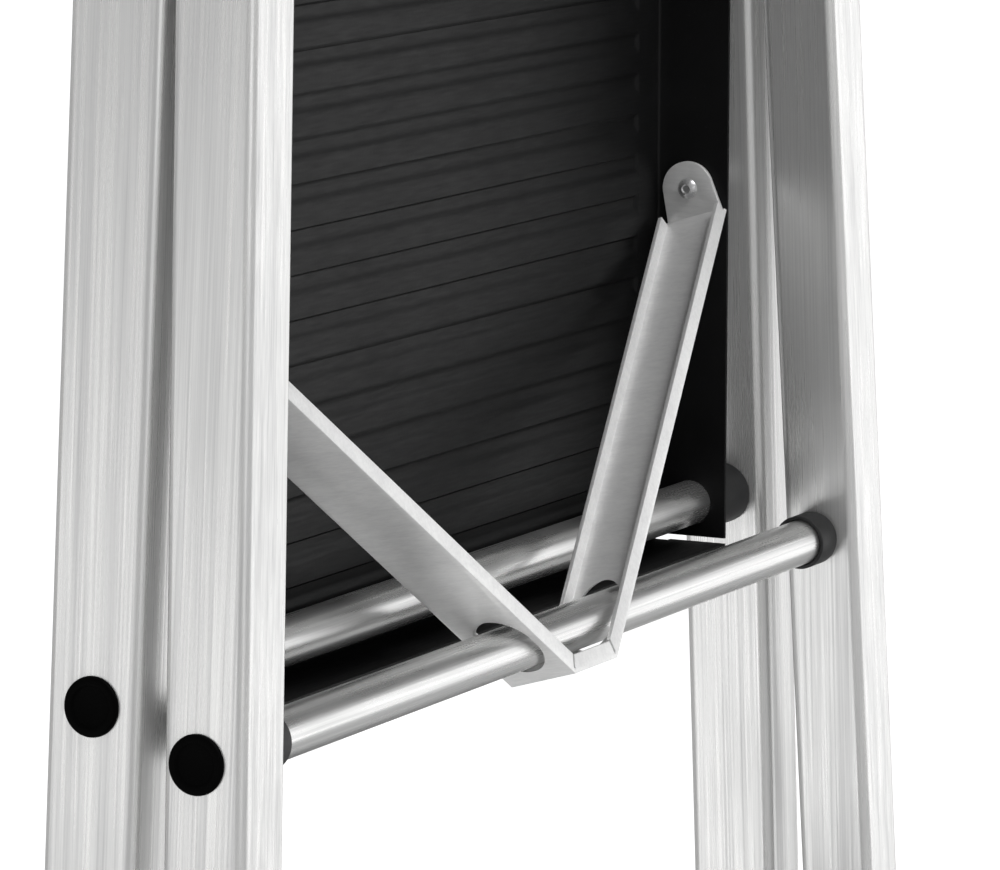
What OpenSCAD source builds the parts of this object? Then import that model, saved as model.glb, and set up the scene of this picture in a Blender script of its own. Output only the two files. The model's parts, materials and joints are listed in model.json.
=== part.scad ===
// Folding step stool, folded: a leaning front frame with a fixed lower tread and a hand rail, a rear
// frame hinged behind it, and a platform that folds up between them on a V-shaped link.
// X is across the stool, +Y is the rear, +Z is up. The feet stand on Z = 0.

/* [Frames] */
// Clear half width between the legs at the height of the rear crossbar
inner_half = 198.7; // [165:0.1:240]
// Outward lean of every leg, degrees
splay = 4.5; // [2:0.5:6]
// Width of a leg across the stool
leg_w = 25; // [21:1:30]
// Depth of a front leg
front_depth = 30; // [25:1:36]
// Depth of a rear leg
rear_depth = 26; // [22:1:31]
// Wall of a leg tube
leg_wall = 1.5; // [1:0.1:2.5]
// Corner radius of a leg tube
leg_round = 3; // [2:0.5:4]
// Diameter of the round cross tubes
tube_d = 15; // [12:0.5:18]
// Wall of the round tubes
tube_wall = 1.2; // [0.8:0.1:2]
// Height of the platform tube above the floor
platform_z = 470; // [390:5:570]
// Gap between the front and rear legs at the height of the rear crossbar
frame_gap = 8.1; // [6:0.1:10]
// Length of a front leg above the hinge pin
leg_above = 90; // [50:1:140]
// Height of the lower tread above the floor
tread_z = 236; // [196:2:284]
// Height of the rear brace above the floor
brace_z = 120; // [90:5:150]

/* [Platform] */
// Gap between the folded platform's upper corners and the front legs
tray_side = 5; // [2:0.5:30]
// Length of the platform from its lower edge to its upper edge, folded
tray_len = 264; // [220:2:290]
// Inside depth of the platform's flanges
tray_in = 25.6; // [24:0.2:28]
// Sheet thickness of the platform and the lower tread
sheet = 1.2; // [0.8:0.1:1.6]
// Distance from the platform's lower edge to its pivot
pivot_up = 14.4; // [12:0.2:18]
// Pitch of the pressed ribs
rib_pitch = 13.5; // [10:0.5:20]
// Lowest rib's middle above the platform's lower edge
rib_first = 8.2; // [7:0.1:10]
// Width of a pressed rib
rib_w = 8; // [5:0.5:9]
// Height of a pressed rib
rib_h = 1; // [0.6:0.1:1.4]
// Plain margin beside the ribs
rib_margin = 13; // [8:1:25]
// Depth of the lower tread from front to back
tread_len = 84; // [70:1:96]

/* [Link] */
// Rear crossbar below the platform tube
cross_down = 13.1; // [10:0.1:16]
// Rivets above the platform tube
rivet_up = 106.5; // [90:0.5:126]
// Rivets in front of the platform tube
rivet_fore = 1; // [0:0.1:1.5]
// Width of the link's web
web_w = 23; // [19:0.5:24]
// Width of the link's flanges
lip_w = 5.7; // [4:0.1:7]
// Sheet thickness of the link
link_sheet = 1.5; // [1:0.1:2]
// Half width of the link's bridge
bridge_half = 14.7; // [10:0.1:20]
// Bridge below the crossbar's axis
bridge_drop = 12.7; // [11.5:0.1:15]
// Lean of the front frame when the stool stands open, degrees
open_lean = 18; // [17:0.5:20]

/* [Hinges and small parts] */
// Hinge pins behind the front legs
hinge_out = 11; // [10.5:0.1:14]
// Diameter of a hinge pin
pin_d = 7; // [5:0.5:8]
// Width of a hinge knuckle
knuckle_w = 12; // [8:1:13]
// Diameter of the hand rail's tube
rail_d = 20; // [16:1:21]
// Outer radius of the corner pieces at the hand rail's ends
corner_round = 30; // [15:1:32]
// Height of the corner pieces above the front legs
corner_h = 60; // [52:1:80]
// Rim of a black plug outside the round tube
plug_rim = 1.2; // [1:0.05:3]
// Wall of the platform bushings
bushing_wall = 3; // [2:0.1:4]
// Wall of the collars on the round tubes
collar_wall = 1.5; // [1:0.1:2.5]
// Length of those collars
collar_l = 12; // [6:1:16]
// Diameter of the rivets' heads
head_d = 7; // [6:0.5:9]
// Diameter of the rivets' shanks
shank_d = 4; // [3:0.5:5]
// Height of a foot
foot_h = 34; // [26:1:44]
// Wall of a foot around its leg
foot_wall = 3; // [2:0.5:4]

/* [Hidden] */
left = -1;
right = 1;

metal = "#c6c6c4";
black = "#1b1b1d";

run_gap = 0.05;        // radial gap of a running fit
seat_gap = 0.1;        // radial gap of a fixed tube or rivet in its hole
side_gap = 0.3;        // gap between parts that slide past each other
end_gap = 1;           // gap between the crossbar's ends and the rear legs
rest_gap = 0.7;        // gap between the open platform and the crossbar under it
end_clear = 0.6;       // gap between the folded rear legs' ends and the front legs
slit = 0.8;            // saw-cut at the link's mitres
flange_slit = 1.6;     // gap between the platform's side and lower flanges
over = 1;              // how far a cut runs past a face
rear_leg_back = 1.8;   // rear leg's centre line behind the crossbar's axis
foot_floor = 6;        // rubber under a leg's end
head_h = 1.8;          // height of a rivet's head
pad_t = 3;             // hinge block's pad on the front leg
lug_t = 4.5;           // hinge block's ears
knuckle_drop = 30;     // hinge pin above the rear leg's end
plug_t = 1.4;          // plug's disc
plug_stem = 8;         // length of a plug's stem
plug_snug = 1.3;       // stem's clearance in the tube
plug_lip = 3;          // width of a plug's raised rim
plug_ring = 4;         // ring between a plug's rim and its middle, from the edge
pin_head = 2;          // how far a hinge pin's head stands out around the pin
pin_head_t = 1.5;      // thickness of that head
stem_gap = 0.1;        // gap around a stem inside a leg
knuckle_cap = 8;       // height of the cap on a rear leg's end
knuckle_stem = 16;     // cap's stem inside the leg
ear_fold_drop = 10.1;  // link's ears begin this far below the rivets
ear_base = 10.3;       // half width of an ear where it begins
ear_r = 9.2;           // radius of an ear's round top
lip_end = 2;           // link's flanges end this far before its ears
lug_rim = 4;           // height of a hinge block's ears around the knuckle
pad_inset = 1;         // pad's edge inside the leg's
tray_corner = 4;       // cut at the free corners of the platform's side flanges
corner_lap = 2;        // corner piece's skirt below the leg's end
corner_hollow = 10;    // radius between the corner piece's arm and its leg
rail_wrap = 3;         // corner piece's wall around the hand rail
rivet_pitch = 16;      // distance between the two rivets at each end of the lower tread
rivet_tail = 1;        // rivet's shank past the last sheet
hole_rise = 1.4;       // how far the link's holes are stretched upward
hole_r = tube_d / 2 + 1.4;
corner_in = 18;        // corner piece's arm inside the leg's face
corner_stem = 22;      // corner piece inside a leg
corner_blind = 12;     // hole's end inside the leg's centre line
tread_back = 22;       // lower tread's rear edge behind the front legs' centre line
round_fn = 48;

tube_r = tube_d / 2;
plug_d = tube_d + 2 * plug_rim;
bushing_d = tube_d + 2 * bushing_wall;
collar_d = tube_d + 2 * collar_wall;
panel_y = -tray_in / 2;                    // inner face of the platform's panel
flange_y = tray_in / 2;                    // free edge of its flanges
cross_z = platform_z - cross_down;
leg_x = inner_half + leg_w / 2 / cos(splay);   // a leg's centre line at the crossbar's height
tray_half = inner_at(platform_z - pivot_up + tray_len) - tray_side;
cross_back = front_depth / 2 + frame_gap + rear_depth / 2 - rear_leg_back;
hinge_back = front_depth / 2 + hinge_out;

// Where the linkage closes. Points are [y, z] from the platform tube, folded and then open.
crossbar_at = [cross_back, -cross_down];
rivet_at = [-rivet_fore, rivet_up];
link_l = norm(rivet_at - crossbar_at);
rest_y = flange_y + tube_r + rest_gap;
rest_z = rivet_up + sqrt(pow(link_l, 2) - pow(rest_y + rivet_fore, 2));
function turned(p, a) = [p[0] * cos(a) + p[1] * sin(a), p[1] * cos(a) - p[0] * sin(a)];
crossbar_open = turned([rest_y, rest_z], 90 - open_lean);
travel = crossbar_open - crossbar_at;
travel_mid = (crossbar_open + crossbar_at) / 2;
hinge_up = travel_mid[1] + (travel_mid[0] - hinge_back) * travel[0] / travel[1];
hinge_z = platform_z + hinge_up;
// The rear legs' ends come this close to the front legs when folded
rear_lean = atan((frame_gap - end_clear) / (hinge_up + cross_down - knuckle_drop));

link_tilt = atan2(cross_back + rivet_fore, rivet_up + cross_down);
ear_x = tray_half - sheet - side_gap;      // outer face of the link's ears
ear_fold = link_l - ear_fold_drop;
arm = [ear_x - bridge_half, ear_fold + bridge_drop];
arm_l = norm(arm);
arm_dir = arm / arm_l;
miter = (1 - arm_dir[0]) / arm_dir[1];

leg_top = hinge_z + leg_above;
corner_arm = rail_d + 2 * rail_wrap;       // height of the arm that takes the hand rail
rail_z = leg_top + corner_h - corner_arm / 2;
rail_end = leg_centre(leg_top) - corner_blind;
crossbar_half = inner_half - tan(splay) * collar_d / 2 - end_gap;
tread_front = tread_back - tread_len;

// The outline stands centred on Y = 0 between the lower tread's front and the rear feet's back.
reach_front = tread_front * cos(open_lean) - sheet * sin(open_lean);
reach_back = cross_back + rear_leg_back + cross_z * tan(rear_lean) + rear_depth / 2 + foot_wall;
shift_y = -(reach_front + reach_back) / 2;

// Half the clear width, half the overall width and a leg's centre line at height z
function inner_at(z) = inner_half + tan(splay) * (cross_z - z);
function outer_at(z) = inner_at(z) + leg_w / cos(splay);
function leg_centre(z) = inner_at(z) + leg_w / 2 / cos(splay);
// Point on the link's outline: s along an arm, d inward from its outer face
function on_arm(s, d) = [bridge_half, -bridge_drop] + s * arm_dir + d * [-arm_dir[1], arm_dir[0]];
function flipped(points) = [for (i = [len(points) - 1:-1:0]) [-points[i][0], points[i][1]]];

module place() {
    translate([0, shift_y, 0]) children();
}

// Frame of a front leg: on its centre line at the crossbar's height, Z along the leg, upward
module on_front_leg(side) {
    place() translate([side * leg_x, 0, cross_z]) rotate([0, -side * splay, 0]) children();
}

// Frame of the rear frame: on the crossbar's axis, Z up along the frame
module on_rear() {
    place() translate([0, cross_back, cross_z]) rotate([rear_lean, 0, 0]) children();
}

module on_rear_leg(side) {
    on_rear() translate([side * leg_x, rear_leg_back, 0]) rotate([0, -side * splay, 0]) children();
}

module on_platform() {
    place() translate([0, 0, platform_z]) children();
}

// Frame of the link: on the crossbar's axis, Z towards the rivets, Y out of the platform
module on_link() {
    place() translate([0, cross_back, cross_z]) rotate([link_tilt, 0, 0]) children();
}

module on_tread() {
    place() translate([0, 0, tread_z]) rotate([open_lean, 0, 0]) children();
}

module rounded_rect(w, d, r) {
    square([w - 2 * r, d], center = true);
    square([w, d - 2 * r], center = true);
    for (x = [-1, 1], y = [-1, 1])
        translate([x * (w / 2 - r), y * (d / 2 - r)]) circle(r, $fn = 32);
}

// Section of what fits inside a leg tube
module leg_bore(depth) {
    slack = 2 * (leg_wall + stem_gap);
    rounded_rect(leg_w - slack, depth - slack, leg_round - leg_wall);
}

// Rectangular tube from z0 to z1 along Z
module leg_tube(depth, z0, z1) {
    translate([0, 0, z0]) difference() {
        linear_extrude(z1 - z0) rounded_rect(leg_w, depth, leg_round);
        translate([0, 0, -over]) linear_extrude(z1 - z0 + 2 * over)
            rounded_rect(leg_w - 2 * leg_wall, depth - 2 * leg_wall, leg_round - leg_wall);
    }
}

// Rod along X between x0 and x1
module rod(r, x0, x1) {
    translate([x0, 0, 0]) rotate([0, 90, 0]) cylinder(h = x1 - x0, r = r, $fn = round_fn);
}

module pipe(r, wall, x0, x1) {
    difference() {
        rod(r, x0, x1);
        rod(r - wall, x0 - over, x1 + over);
    }
}

// Dome-headed rivet along X: its head rises from X = 0 towards +X, its shank reaches back to X = -l
module rivet(l) {
    ball = (pow(head_d / 2, 2) + pow(head_h, 2)) / (2 * head_h);
    rim = asin(head_d / 2 / ball);
    dome = [for (i = [0:8]) [ball * sin(rim * i / 8), head_h - ball + ball * cos(rim * i / 8)]];
    rotate([0, 90, 0]) rotate_extrude($fn = round_fn)
        polygon(concat(dome, [[shank_d / 2, 0], [shank_d / 2, -l], [0, -l]]));
}

// Black plug in a leg's outer face, over a cross tube through X = 0 of the leg's frame
module plug(side) {
    face = side * leg_w / 2;
    translate([face, 0, -leg_w / 2 * tan(splay)]) mirror([side < 0 ? 1 : 0, 0, 0]) {
        difference() {
            rod(plug_d / 2, 0, plug_t);
            rod(plug_d / 2 - plug_lip, plug_t / 2, plug_t + over);
        }
        rod(plug_d / 2 - plug_ring, plug_t / 2, plug_t);
        rod(tube_r - tube_wall - plug_snug, -plug_stem, plug_t / 2);
    }
}

module front_leg(side) {
    color(metal) difference() {
        on_front_leg(side) difference() {
            leg_tube(front_depth, -(cross_z - foot_floor) / cos(splay), (leg_top - cross_z) / cos(splay));
            tread_rivet_holes(side);
        }
        on_platform() rod(tube_r + seat_gap, side > 0 ? 0 : -2 * leg_x, side > 0 ? 2 * leg_x : 0);
    }
}

module rear_leg(side) {
    color(metal) difference() {
        on_rear_leg(side)
            leg_tube(rear_depth, -(cross_z - foot_floor) / cos(splay), rear_top());
        on_rear() {
            rod(tube_r + seat_gap, side > 0 ? 0 : -leg_x, side > 0 ? leg_x : 0);
            rod(tube_r - tube_wall, side > 0 ? leg_x : -2 * leg_x, side > 0 ? 2 * leg_x : -leg_x);
            translate([0, 0, brace_z - cross_z])
                rod(tube_r + seat_gap, side > 0 ? 0 : -2 * leg_x, side > 0 ? 2 * leg_x : 0);
        }
    }
}

// Rear leg's end above the crossbar, along the leg
function rear_top() = (hinge_z - knuckle_drop - cross_z) / cos(rear_lean) / cos(splay);

// Rubber foot around the end of a leg. It is flat on the floor.
module foot(side, rear) {
    depth = rear ? rear_depth : front_depth;
    end = -(cross_z - foot_floor) / cos(splay);
    color(black) intersection() {
        on_leg(side, rear) difference() {
            translate([0, 0, end - 3 * foot_floor])
                linear_extrude(foot_h + 3 * foot_floor)
                rounded_rect(leg_w + 2 * foot_wall, depth + 2 * foot_wall, leg_round + foot_wall / 2);
            translate([0, 0, end]) linear_extrude(foot_h + over)
                rounded_rect(leg_w, depth, leg_round);
        }
        translate([0, 0, leg_x]) cube([4 * leg_x, 4 * leg_x, 2 * leg_x], center = true);
    }
}

module on_leg(side, rear) {
    if (rear) on_rear_leg(side) children();
    else on_front_leg(side) children();
}

// Clevis on a front leg's rear face, which holds the hinge pin between two ears
module hinge_block(side) {
    x0 = leg_centre(hinge_z);
    r = hinge_back - front_depth / 2 - pad_t - 2 * side_gap;
    pad_h = 4 * r + 3 * lug_rim;
    pad_z = (hinge_z - cross_z) / cos(splay) - pad_h / 2;
    color(black) difference() {
        union() {
            on_front_leg(side)
                translate([pad_inset - leg_w / 2, front_depth / 2, pad_z])
                cube([leg_w - 2 * pad_inset, pad_t, pad_h]);
            place() for (s = [-1, 1])
                translate([side * x0 + s * (knuckle_w + lug_t + 2 * side_gap) / 2, 0, hinge_z])
                hinge_ear(r);
        }
        place() translate([0, hinge_back, hinge_z])
            rod(pin_d / 2 + seat_gap, side > 0 ? 0 : -2 * leg_x, side > 0 ? 2 * leg_x : 0);
    }
}

module hinge_ear(r) {
    y0 = front_depth / 2 + pad_t / 2;
    translate([-lug_t / 2, y0, -r - lug_rim]) cube([lug_t, hinge_back - y0, 2 * (r + lug_rim)]);
    translate([0, hinge_back, 0]) rod(hinge_back - front_depth / 2 - side_gap, -lug_t / 2, lug_t / 2);
}

// Cap in a rear leg's end with the knuckle that turns on the hinge pin
module hinge_knuckle(side) {
    x0 = leg_centre(hinge_z);
    r = hinge_back - front_depth / 2 - pad_t - 2 * side_gap;
    color(black) difference() {
        union() {
            on_rear_leg(side) {
                translate([0, 0, rear_top()]) linear_extrude(knuckle_cap)
                    rounded_rect(leg_w, rear_depth, leg_round);
                translate([0, 0, rear_top() - knuckle_stem]) linear_extrude(knuckle_stem + over)
                    leg_bore(rear_depth);
            }
            place() translate([side * x0, hinge_back, hinge_z]) {
                rod(r, -knuckle_w / 2, knuckle_w / 2);
                translate([-knuckle_w / 2, -r, knuckle_cap / 2 - knuckle_drop])
                    cube([knuckle_w, 2 * r, knuckle_drop - knuckle_cap / 2]);
            }
        }
        place() translate([0, hinge_back, hinge_z])
            rod(pin_d / 2 + run_gap, side > 0 ? 0 : -2 * leg_x, side > 0 ? 2 * leg_x : 0);
    }
}

// Headed pins, one at each side
module hinge_pins() {
    x0 = leg_centre(hinge_z);
    reach = knuckle_w / 2 + lug_t + side_gap;
    color(metal) place() for (side = [-1, 1])
        translate([side * x0, hinge_back, hinge_z]) {
            rod(pin_d / 2, -reach, reach);
            rod(pin_d / 2 + pin_head, reach, reach + pin_head_t);
            rod(pin_d / 2 + pin_head, -reach - pin_head_t, -reach);
        }
}

// Round tube between the two corner pieces
module hand_rail() {
    half = rail_end - side_gap;
    color(metal) place() translate([0, 0, rail_z]) pipe(rail_d / 2, tube_wall, -half, half);
}

// Moulded corner on a front leg's end, with a blind hole for the hand rail
module rail_corner(side) {
    stem_at = (leg_top - cross_z) / cos(splay) - corner_stem;
    arc = [for (a = [0:7.5:90]) [leg_w / 2 - pad_inset, corner_h] - corner_round * [1 - cos(a), 1 - sin(a)]];
    inside = [-leg_w / 2, corner_h - corner_arm];
    hollow = [for (a = [0:15:90]) inside - corner_hollow * [1 - sin(a), 1 - cos(a)]];
    color(black) difference() {
        union() {
            place() translate([side * leg_centre(leg_top), 0, leg_top]) mirror([side < 0 ? 1 : 0, 0, 0])
                translate([0, front_depth / 2, 0]) rotate([90, 0, 0]) linear_extrude(front_depth)
                polygon(concat([[leg_w / 2, -corner_lap]], arc,
                               [[-leg_w / 2 - corner_in, corner_h], inside - [corner_in, 0]],
                               hollow, [[-leg_w / 2, -corner_lap]]));
            on_front_leg(side) translate([0, 0, stem_at]) linear_extrude(corner_stem + over)
                leg_bore(front_depth);
        }
        on_front_leg(side) translate([0, 0, stem_at]) linear_extrude(corner_stem) difference() {
            square(2 * front_depth, center = true);
            leg_bore(front_depth);
        }
        place() translate([0, 0, rail_z])
            rod(rail_d / 2 + seat_gap, side > 0 ? 0 : -rail_end, side > 0 ? rail_end : 0);
    }
}

// Pressed sheet with ribs across it: panel in XZ from z0 to z1, its outer face towards -Y
module ribbed_panel(half, z0, z1, rib_half) {
    count = floor((z1 - z0 - 2 * rib_first) / rib_pitch) + 1;
    first = z0 + rib_first;
    difference() {
        union() {
            translate([-half, -sheet, z0]) cube([2 * half, sheet, z1 - z0]);
            for (i = [0:count - 1])
                translate([-rib_half, -sheet - rib_h, first + i * rib_pitch - rib_w / 2])
                cube([2 * rib_half, rib_h + sheet / 2, rib_w]);
        }
        for (i = [0:count - 1])
            translate([-rib_half + sheet, -rib_h, first + i * rib_pitch - rib_w / 2 + sheet])
            cube([2 * (rib_half - sheet), rib_h + over, rib_w - 2 * sheet]);
    }
}

module platform_tray() {
    z0 = -pivot_up;
    z1 = z0 + tray_len;
    color(black) on_platform() difference() {
        union() {
            translate([0, panel_y, 0]) ribbed_panel(tray_half, z0, z1, tray_half - sheet - rib_margin);
            for (z = [z0, z1 - sheet])
                translate([-tray_half, panel_y - sheet, z]) cube([2 * tray_half, tray_in + sheet, sheet]);
            for (side = [-1, 1])
                side_flange(side, z0 + sheet + flange_slit, z1);
        }
        rod(tube_r + run_gap, -tray_half - over, tray_half + over);
        translate([0, rivet_at[0], rivet_at[1]])
            rod(shank_d / 2 + run_gap, -tray_half - over, tray_half + over);
    }
}

// Side flange with its lower free corner cut off
module side_flange(side, z0, z1) {
    cut = tray_corner;
    x0 = side > 0 ? tray_half - sheet : -tray_half;
    translate([x0, 0, 0]) rotate([90, 0, 90]) linear_extrude(sheet)
        polygon([[panel_y - sheet / 2, z0], [flange_y - cut, z0], [flange_y, z0 + cut],
                 [flange_y, z1 - cut], [flange_y - cut, z1], [panel_y - sheet / 2, z1]]);
}

// Fixed tread between the front legs: level when the stool stands open
module lower_tread() {
    half = inner_at(tread_z - tread_len) + leg_w;
    color(black) {
        difference() {
            on_tread() {
                rotate([-90, 0, 0]) ribbed_panel(half, tread_front, tread_back, inner_half - 2 * rib_margin);
                for (y = [tread_front, tread_back - sheet])
                    translate([-half, y, -tray_in]) cube([2 * half, sheet, tray_in + sheet / 2]);
            }
            for (side = [-1, 1]) on_front_leg(side)
                translate([side > 0 ? -leg_w / 2 : -3 * leg_w, -2 * tread_len, -2 * cross_z])
                cube([3.5 * leg_w, 4 * tread_len, 3 * cross_z]);
        }
        for (side = [-1, 1]) intersection() {
            on_front_leg(side) difference() {
                translate([side > 0 ? -leg_w / 2 - sheet : leg_w / 2, -2 * tread_len, -cross_z])
                    cube([sheet, 4 * tread_len, 2 * cross_z]);
                tread_rivet_holes(side);
            }
            on_tread() translate([-half, tread_front, -tray_in]) cube([2 * half, tread_len, tray_in + sheet]);
        }
    }
}

// Places of the lower tread's rivets in a front leg's frame
module at_tread_rivets(side) {
    for (y = [-rivet_pitch / 2, rivet_pitch / 2])
        translate([-side * leg_w / 2, y, (tread_z - cross_z) / cos(splay) - tray_in / 2 + y * tan(open_lean)])
        mirror([side > 0 ? 0 : 1, 0, 0]) children();
}

module tread_rivet_holes(side) {
    at_tread_rivets(side) rod(shank_d / 2 + seat_gap, -2 * sheet, leg_wall + over);
}

module tread_rivets() {
    color(metal) for (side = [-1, 1]) on_front_leg(side) at_tread_rivets(side) {
        translate([-sheet, 0, 0]) mirror([1, 0, 0]) rivet(sheet + leg_wall + rivet_tail);
    }
}

module platform_tube() {
    half = outer_at(platform_z + tube_r) - side_gap;
    color(metal) on_platform() pipe(tube_r, tube_wall, -half, half);
}

// Black spacer on the platform tube between the platform and a front leg
module bushing(side) {
    far = inner_at(platform_z - bushing_d);
    color(black) difference() {
        on_platform() mirror([side < 0 ? 1 : 0, 0, 0])
            difference() {
                rod(bushing_d / 2, tray_half + side_gap, far);
                rod(tube_r + seat_gap, tray_half - over, far + over);
            }
        on_front_leg(side) cube([leg_w, 2 * front_depth, 8 * bushing_d], center = true);
    }
}

module platform_plugs() {
    color(black) for (side = [-1, 1]) on_front_leg(side)
        translate([0, 0, cross_down / cos(splay)]) plug(side);
}

module rear_brace() {
    half = outer_at(brace_z + tube_r) - side_gap;
    color(metal) on_rear() translate([0, 0, brace_z - cross_z]) pipe(tube_r, tube_wall, -half, half);
}

// Collar on a round tube against a rear leg, z above the crossbar, with its outer end at x1
module tube_collar(side, z, x1) {
    translate([0, 0, z]) mirror([side < 0 ? 1 : 0, 0, 0]) difference() {
        rod(collar_d / 2, x1 - collar_l, x1);
        rod(tube_r + seat_gap, x1 - collar_l - over, x1 + over);
    }
}

module brace_collars() {
    x1 = inner_at(brace_z + collar_d / 2);
    color(black) on_rear() for (side = [-1, 1]) tube_collar(side, brace_z - cross_z, x1);
}

module brace_plugs() {
    color(black) for (side = [-1, 1]) on_rear_leg(side)
        translate([0, -rear_leg_back, (brace_z - cross_z) / cos(splay)]) plug(side);
}

module crossbar_plugs() {
    color(black) for (side = [-1, 1]) on_rear_leg(side) translate([0, -rear_leg_back, 0]) plug(side);
}

module rear_crossbar() {
    color(metal) on_link() pipe(tube_r, tube_wall, -crossbar_half, crossbar_half);
}

module crossbar_collar(side) {
    color(black) on_link() tube_collar(side, 0, crossbar_half);
}

// Sheet outline of the link's web, seen along the crossbar's normal
module web_outline() {
    t = link_sheet;
    side = [[bridge_half, -bridge_drop], [ear_x, ear_fold],
            [ear_x - t, ear_fold + t * (1 - arm_dir[1]) / arm_dir[0]], on_arm(t * miter, t)];
    polygon(concat(side, flipped(side)));
}

module lip_outlines() {
    w = lip_w;
    end = arm_l - lip_end;
    for (s = [0, 1]) mirror([s, 0])
        polygon([on_arm(slit, 0), on_arm(end, 0), on_arm(end, w), on_arm(slit + w * miter, w)]);
    base = bridge_half - slit / 2;
    polygon([[base, -bridge_drop], [base - w * miter, w - bridge_drop],
             [w * miter - base, w - bridge_drop], [-base, -bridge_drop]]);
}

// Ear with a round top, bent up from the end of an arm
module ear(side) {
    x0 = side > 0 ? ear_x - link_sheet : -ear_x;
    translate([x0, 0, 0]) rotate([90, 0, 90]) linear_extrude(link_sheet) {
        polygon([[-ear_base, ear_fold], [ear_base, ear_fold], [ear_r, link_l], [-ear_r, link_l]]);
        translate([0, link_l]) circle(ear_r, $fn = round_fn);
    }
}

module v_link() {
    color(metal) on_link() difference() {
        union() {
            translate([0, web_w / 2, 0]) rotate([90, 0, 0]) linear_extrude(web_w) web_outline();
            for (y = [web_w / 2, link_sheet - web_w / 2])
                translate([0, y, 0]) rotate([90, 0, 0]) linear_extrude(link_sheet) lip_outlines();
            for (side = [-1, 1]) ear(side);
        }
        for (z = [0, hole_rise]) translate([0, 0, z]) rod(hole_r, -tray_half / 2, tray_half / 2);
        translate([0, 0, link_l]) rod(shank_d / 2 + seat_gap, -tray_half, tray_half);
    }
}

// Rivets that the link turns on, through its ears and the platform's side flanges
module link_rivets() {
    middle = ear_x - link_sheet;
    color(metal) on_link() translate([0, 0, link_l]) for (s = [0, 1]) mirror([s, 0, 0]) {
        translate([tray_half + side_gap, 0, 0]) rivet(tray_half + side_gap - middle - link_sheet / 2);
        translate([middle, 0, 0]) mirror([1, 0, 0]) rivet(link_sheet / 2);
    }
}

front_leg(left);  // front_leg_left
front_leg(right);  // front_leg_right
foot(left, false);  // front_foot_left
foot(right, false);  // front_foot_right
hinge_block(left);  // hinge_block_left
hinge_block(right);  // hinge_block_right
hinge_pins();
hand_rail();
rail_corner(left);  // rail_corner_left
rail_corner(right);  // rail_corner_right
lower_tread();
tread_rivets();
platform_tube();
bushing(left);  // bushing_left
bushing(right);  // bushing_right
platform_plugs();
rear_leg(left);  // rear_leg_left
rear_leg(right);  // rear_leg_right
foot(left, true);  // rear_foot_left
foot(right, true);  // rear_foot_right
hinge_knuckle(left);  // hinge_knuckle_left
hinge_knuckle(right);  // hinge_knuckle_right
rear_brace();
brace_collars();
brace_plugs();
crossbar_plugs();
platform_tray();
v_link();
link_rivets();
rear_crossbar();
crossbar_collar(left);  // crossbar_collar_left
crossbar_collar(right);  // crossbar_collar_right
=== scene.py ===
import json
import math

import bmesh
import bpy
from mathutils import Matrix, Vector


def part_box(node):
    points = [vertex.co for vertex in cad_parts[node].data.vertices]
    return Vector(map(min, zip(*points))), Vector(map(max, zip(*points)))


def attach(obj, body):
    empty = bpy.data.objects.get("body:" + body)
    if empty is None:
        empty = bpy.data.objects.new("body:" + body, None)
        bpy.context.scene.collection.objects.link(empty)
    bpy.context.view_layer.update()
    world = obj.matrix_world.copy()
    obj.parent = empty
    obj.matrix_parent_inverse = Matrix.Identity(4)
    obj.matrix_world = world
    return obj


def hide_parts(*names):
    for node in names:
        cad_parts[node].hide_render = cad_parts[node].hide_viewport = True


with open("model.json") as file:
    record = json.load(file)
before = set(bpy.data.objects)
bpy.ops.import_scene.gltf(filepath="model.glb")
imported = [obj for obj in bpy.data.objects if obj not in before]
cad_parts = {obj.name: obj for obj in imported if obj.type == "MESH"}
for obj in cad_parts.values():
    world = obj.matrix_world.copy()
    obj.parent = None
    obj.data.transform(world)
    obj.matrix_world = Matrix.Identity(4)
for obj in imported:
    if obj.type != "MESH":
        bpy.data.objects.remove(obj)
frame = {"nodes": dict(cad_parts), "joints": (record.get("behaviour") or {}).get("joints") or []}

nodes = frame["nodes"]
joints = {joint["name"]: joint for joint in frame["joints"]}
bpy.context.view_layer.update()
mm = 0.001
splay = math.radians(4.5)  # outward lean of the legs
platformPivot = Vector(joints["platform_fold"]["pos_m"])
linkPivot = Vector(joints["link_fold"]["pos_m"])
scene = bpy.context.scene


cameraPlan = {
    "aim": (-4.0, 13.1, 47.0),  # from the platform's pivot, in mm
    "distance": 1.9003,
    "azimuth": 116.86,
    "elevation": 8.83,
    "roll": 0.17,
    "lens": 220.0,
}


def makeCamera(plan):
    azimuth, elevation, roll = (math.radians(plan[key]) for key in ("azimuth", "elevation", "roll"))
    back = Vector((math.sin(azimuth) * math.cos(elevation),
                   -math.cos(azimuth) * math.cos(elevation), math.sin(elevation)))
    right = Vector((math.cos(azimuth), math.sin(azimuth), 0))
    up = back.cross(right)
    rolledRight = right * math.cos(roll) + up * math.sin(roll)
    rolledUp = back.cross(rolledRight)
    data = bpy.data.cameras.new("camera")
    data.lens = plan["lens"]
    data.sensor_width = 36.0
    data.clip_start, data.clip_end = 0.05, 60.0
    camera = bpy.data.objects.new("camera", data)
    scene.collection.objects.link(camera)
    turn = Matrix((rolledRight, rolledUp, back)).transposed()
    place = platformPivot + Vector(plan["aim"]) * mm + back * plan["distance"]
    camera.matrix_world = Matrix.Translation(place) @ turn.to_4x4()
    scene.camera = camera


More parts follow.
